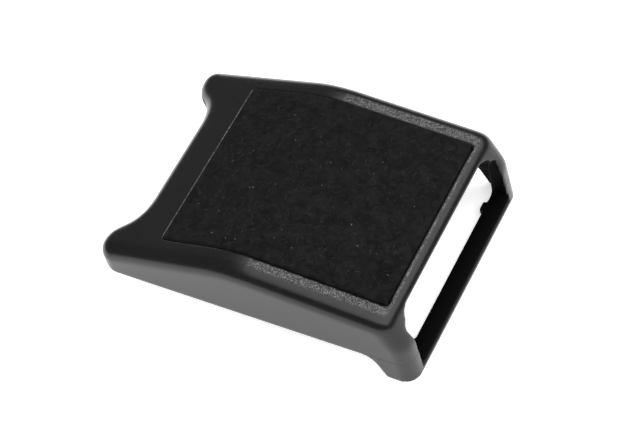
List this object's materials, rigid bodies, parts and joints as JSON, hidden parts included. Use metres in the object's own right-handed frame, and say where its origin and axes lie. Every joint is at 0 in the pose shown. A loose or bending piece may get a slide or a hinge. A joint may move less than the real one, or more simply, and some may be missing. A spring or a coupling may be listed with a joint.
{
  "type": "web belt buckle slider",
  "caption": "Bent plastic web-belt buckle slider with a loop-fastener pad on its face, a belt window at one end, a thumb notch at the other and a hinged toothed clamping lever behind.",
  "frame": {"origin": "middle of the body's length and width, on the plane the buckle lies on", "axes": "+X from the thumb notch towards the belt inlet, +Y across the belt, +Z out of the face"},
  "size_m": [0.0668, 0.0482, 0.0193],
  "materials": {
    "body_plastic": "satin black moulded nylon, fine spark-grained margin round the pad",
    "loop_fabric": "short brushed black loop pile",
    "adhesive_film": "thin black adhesive film",
    "lever_plastic": "satin black moulded nylon",
    "pin_steel": "plain ground steel"
  },
  "bodies": {
    "buckle": {"buckle_body": "body_plastic", "loop_pad": "loop_fabric", "pad_adhesive": "adhesive_film", "pivot_pin": "pin_steel"},
    "lever": {"clamp_lever": "lever_plastic"}
  },
  "joints": [
    {"name": "lever_hinge", "type": "hinge", "parent": "buckle", "child": "lever", "pos_m": [0.013, 0, 0.0083], "axis": [0, -1, 0], "range_deg": [0, 35]}
  ]
}
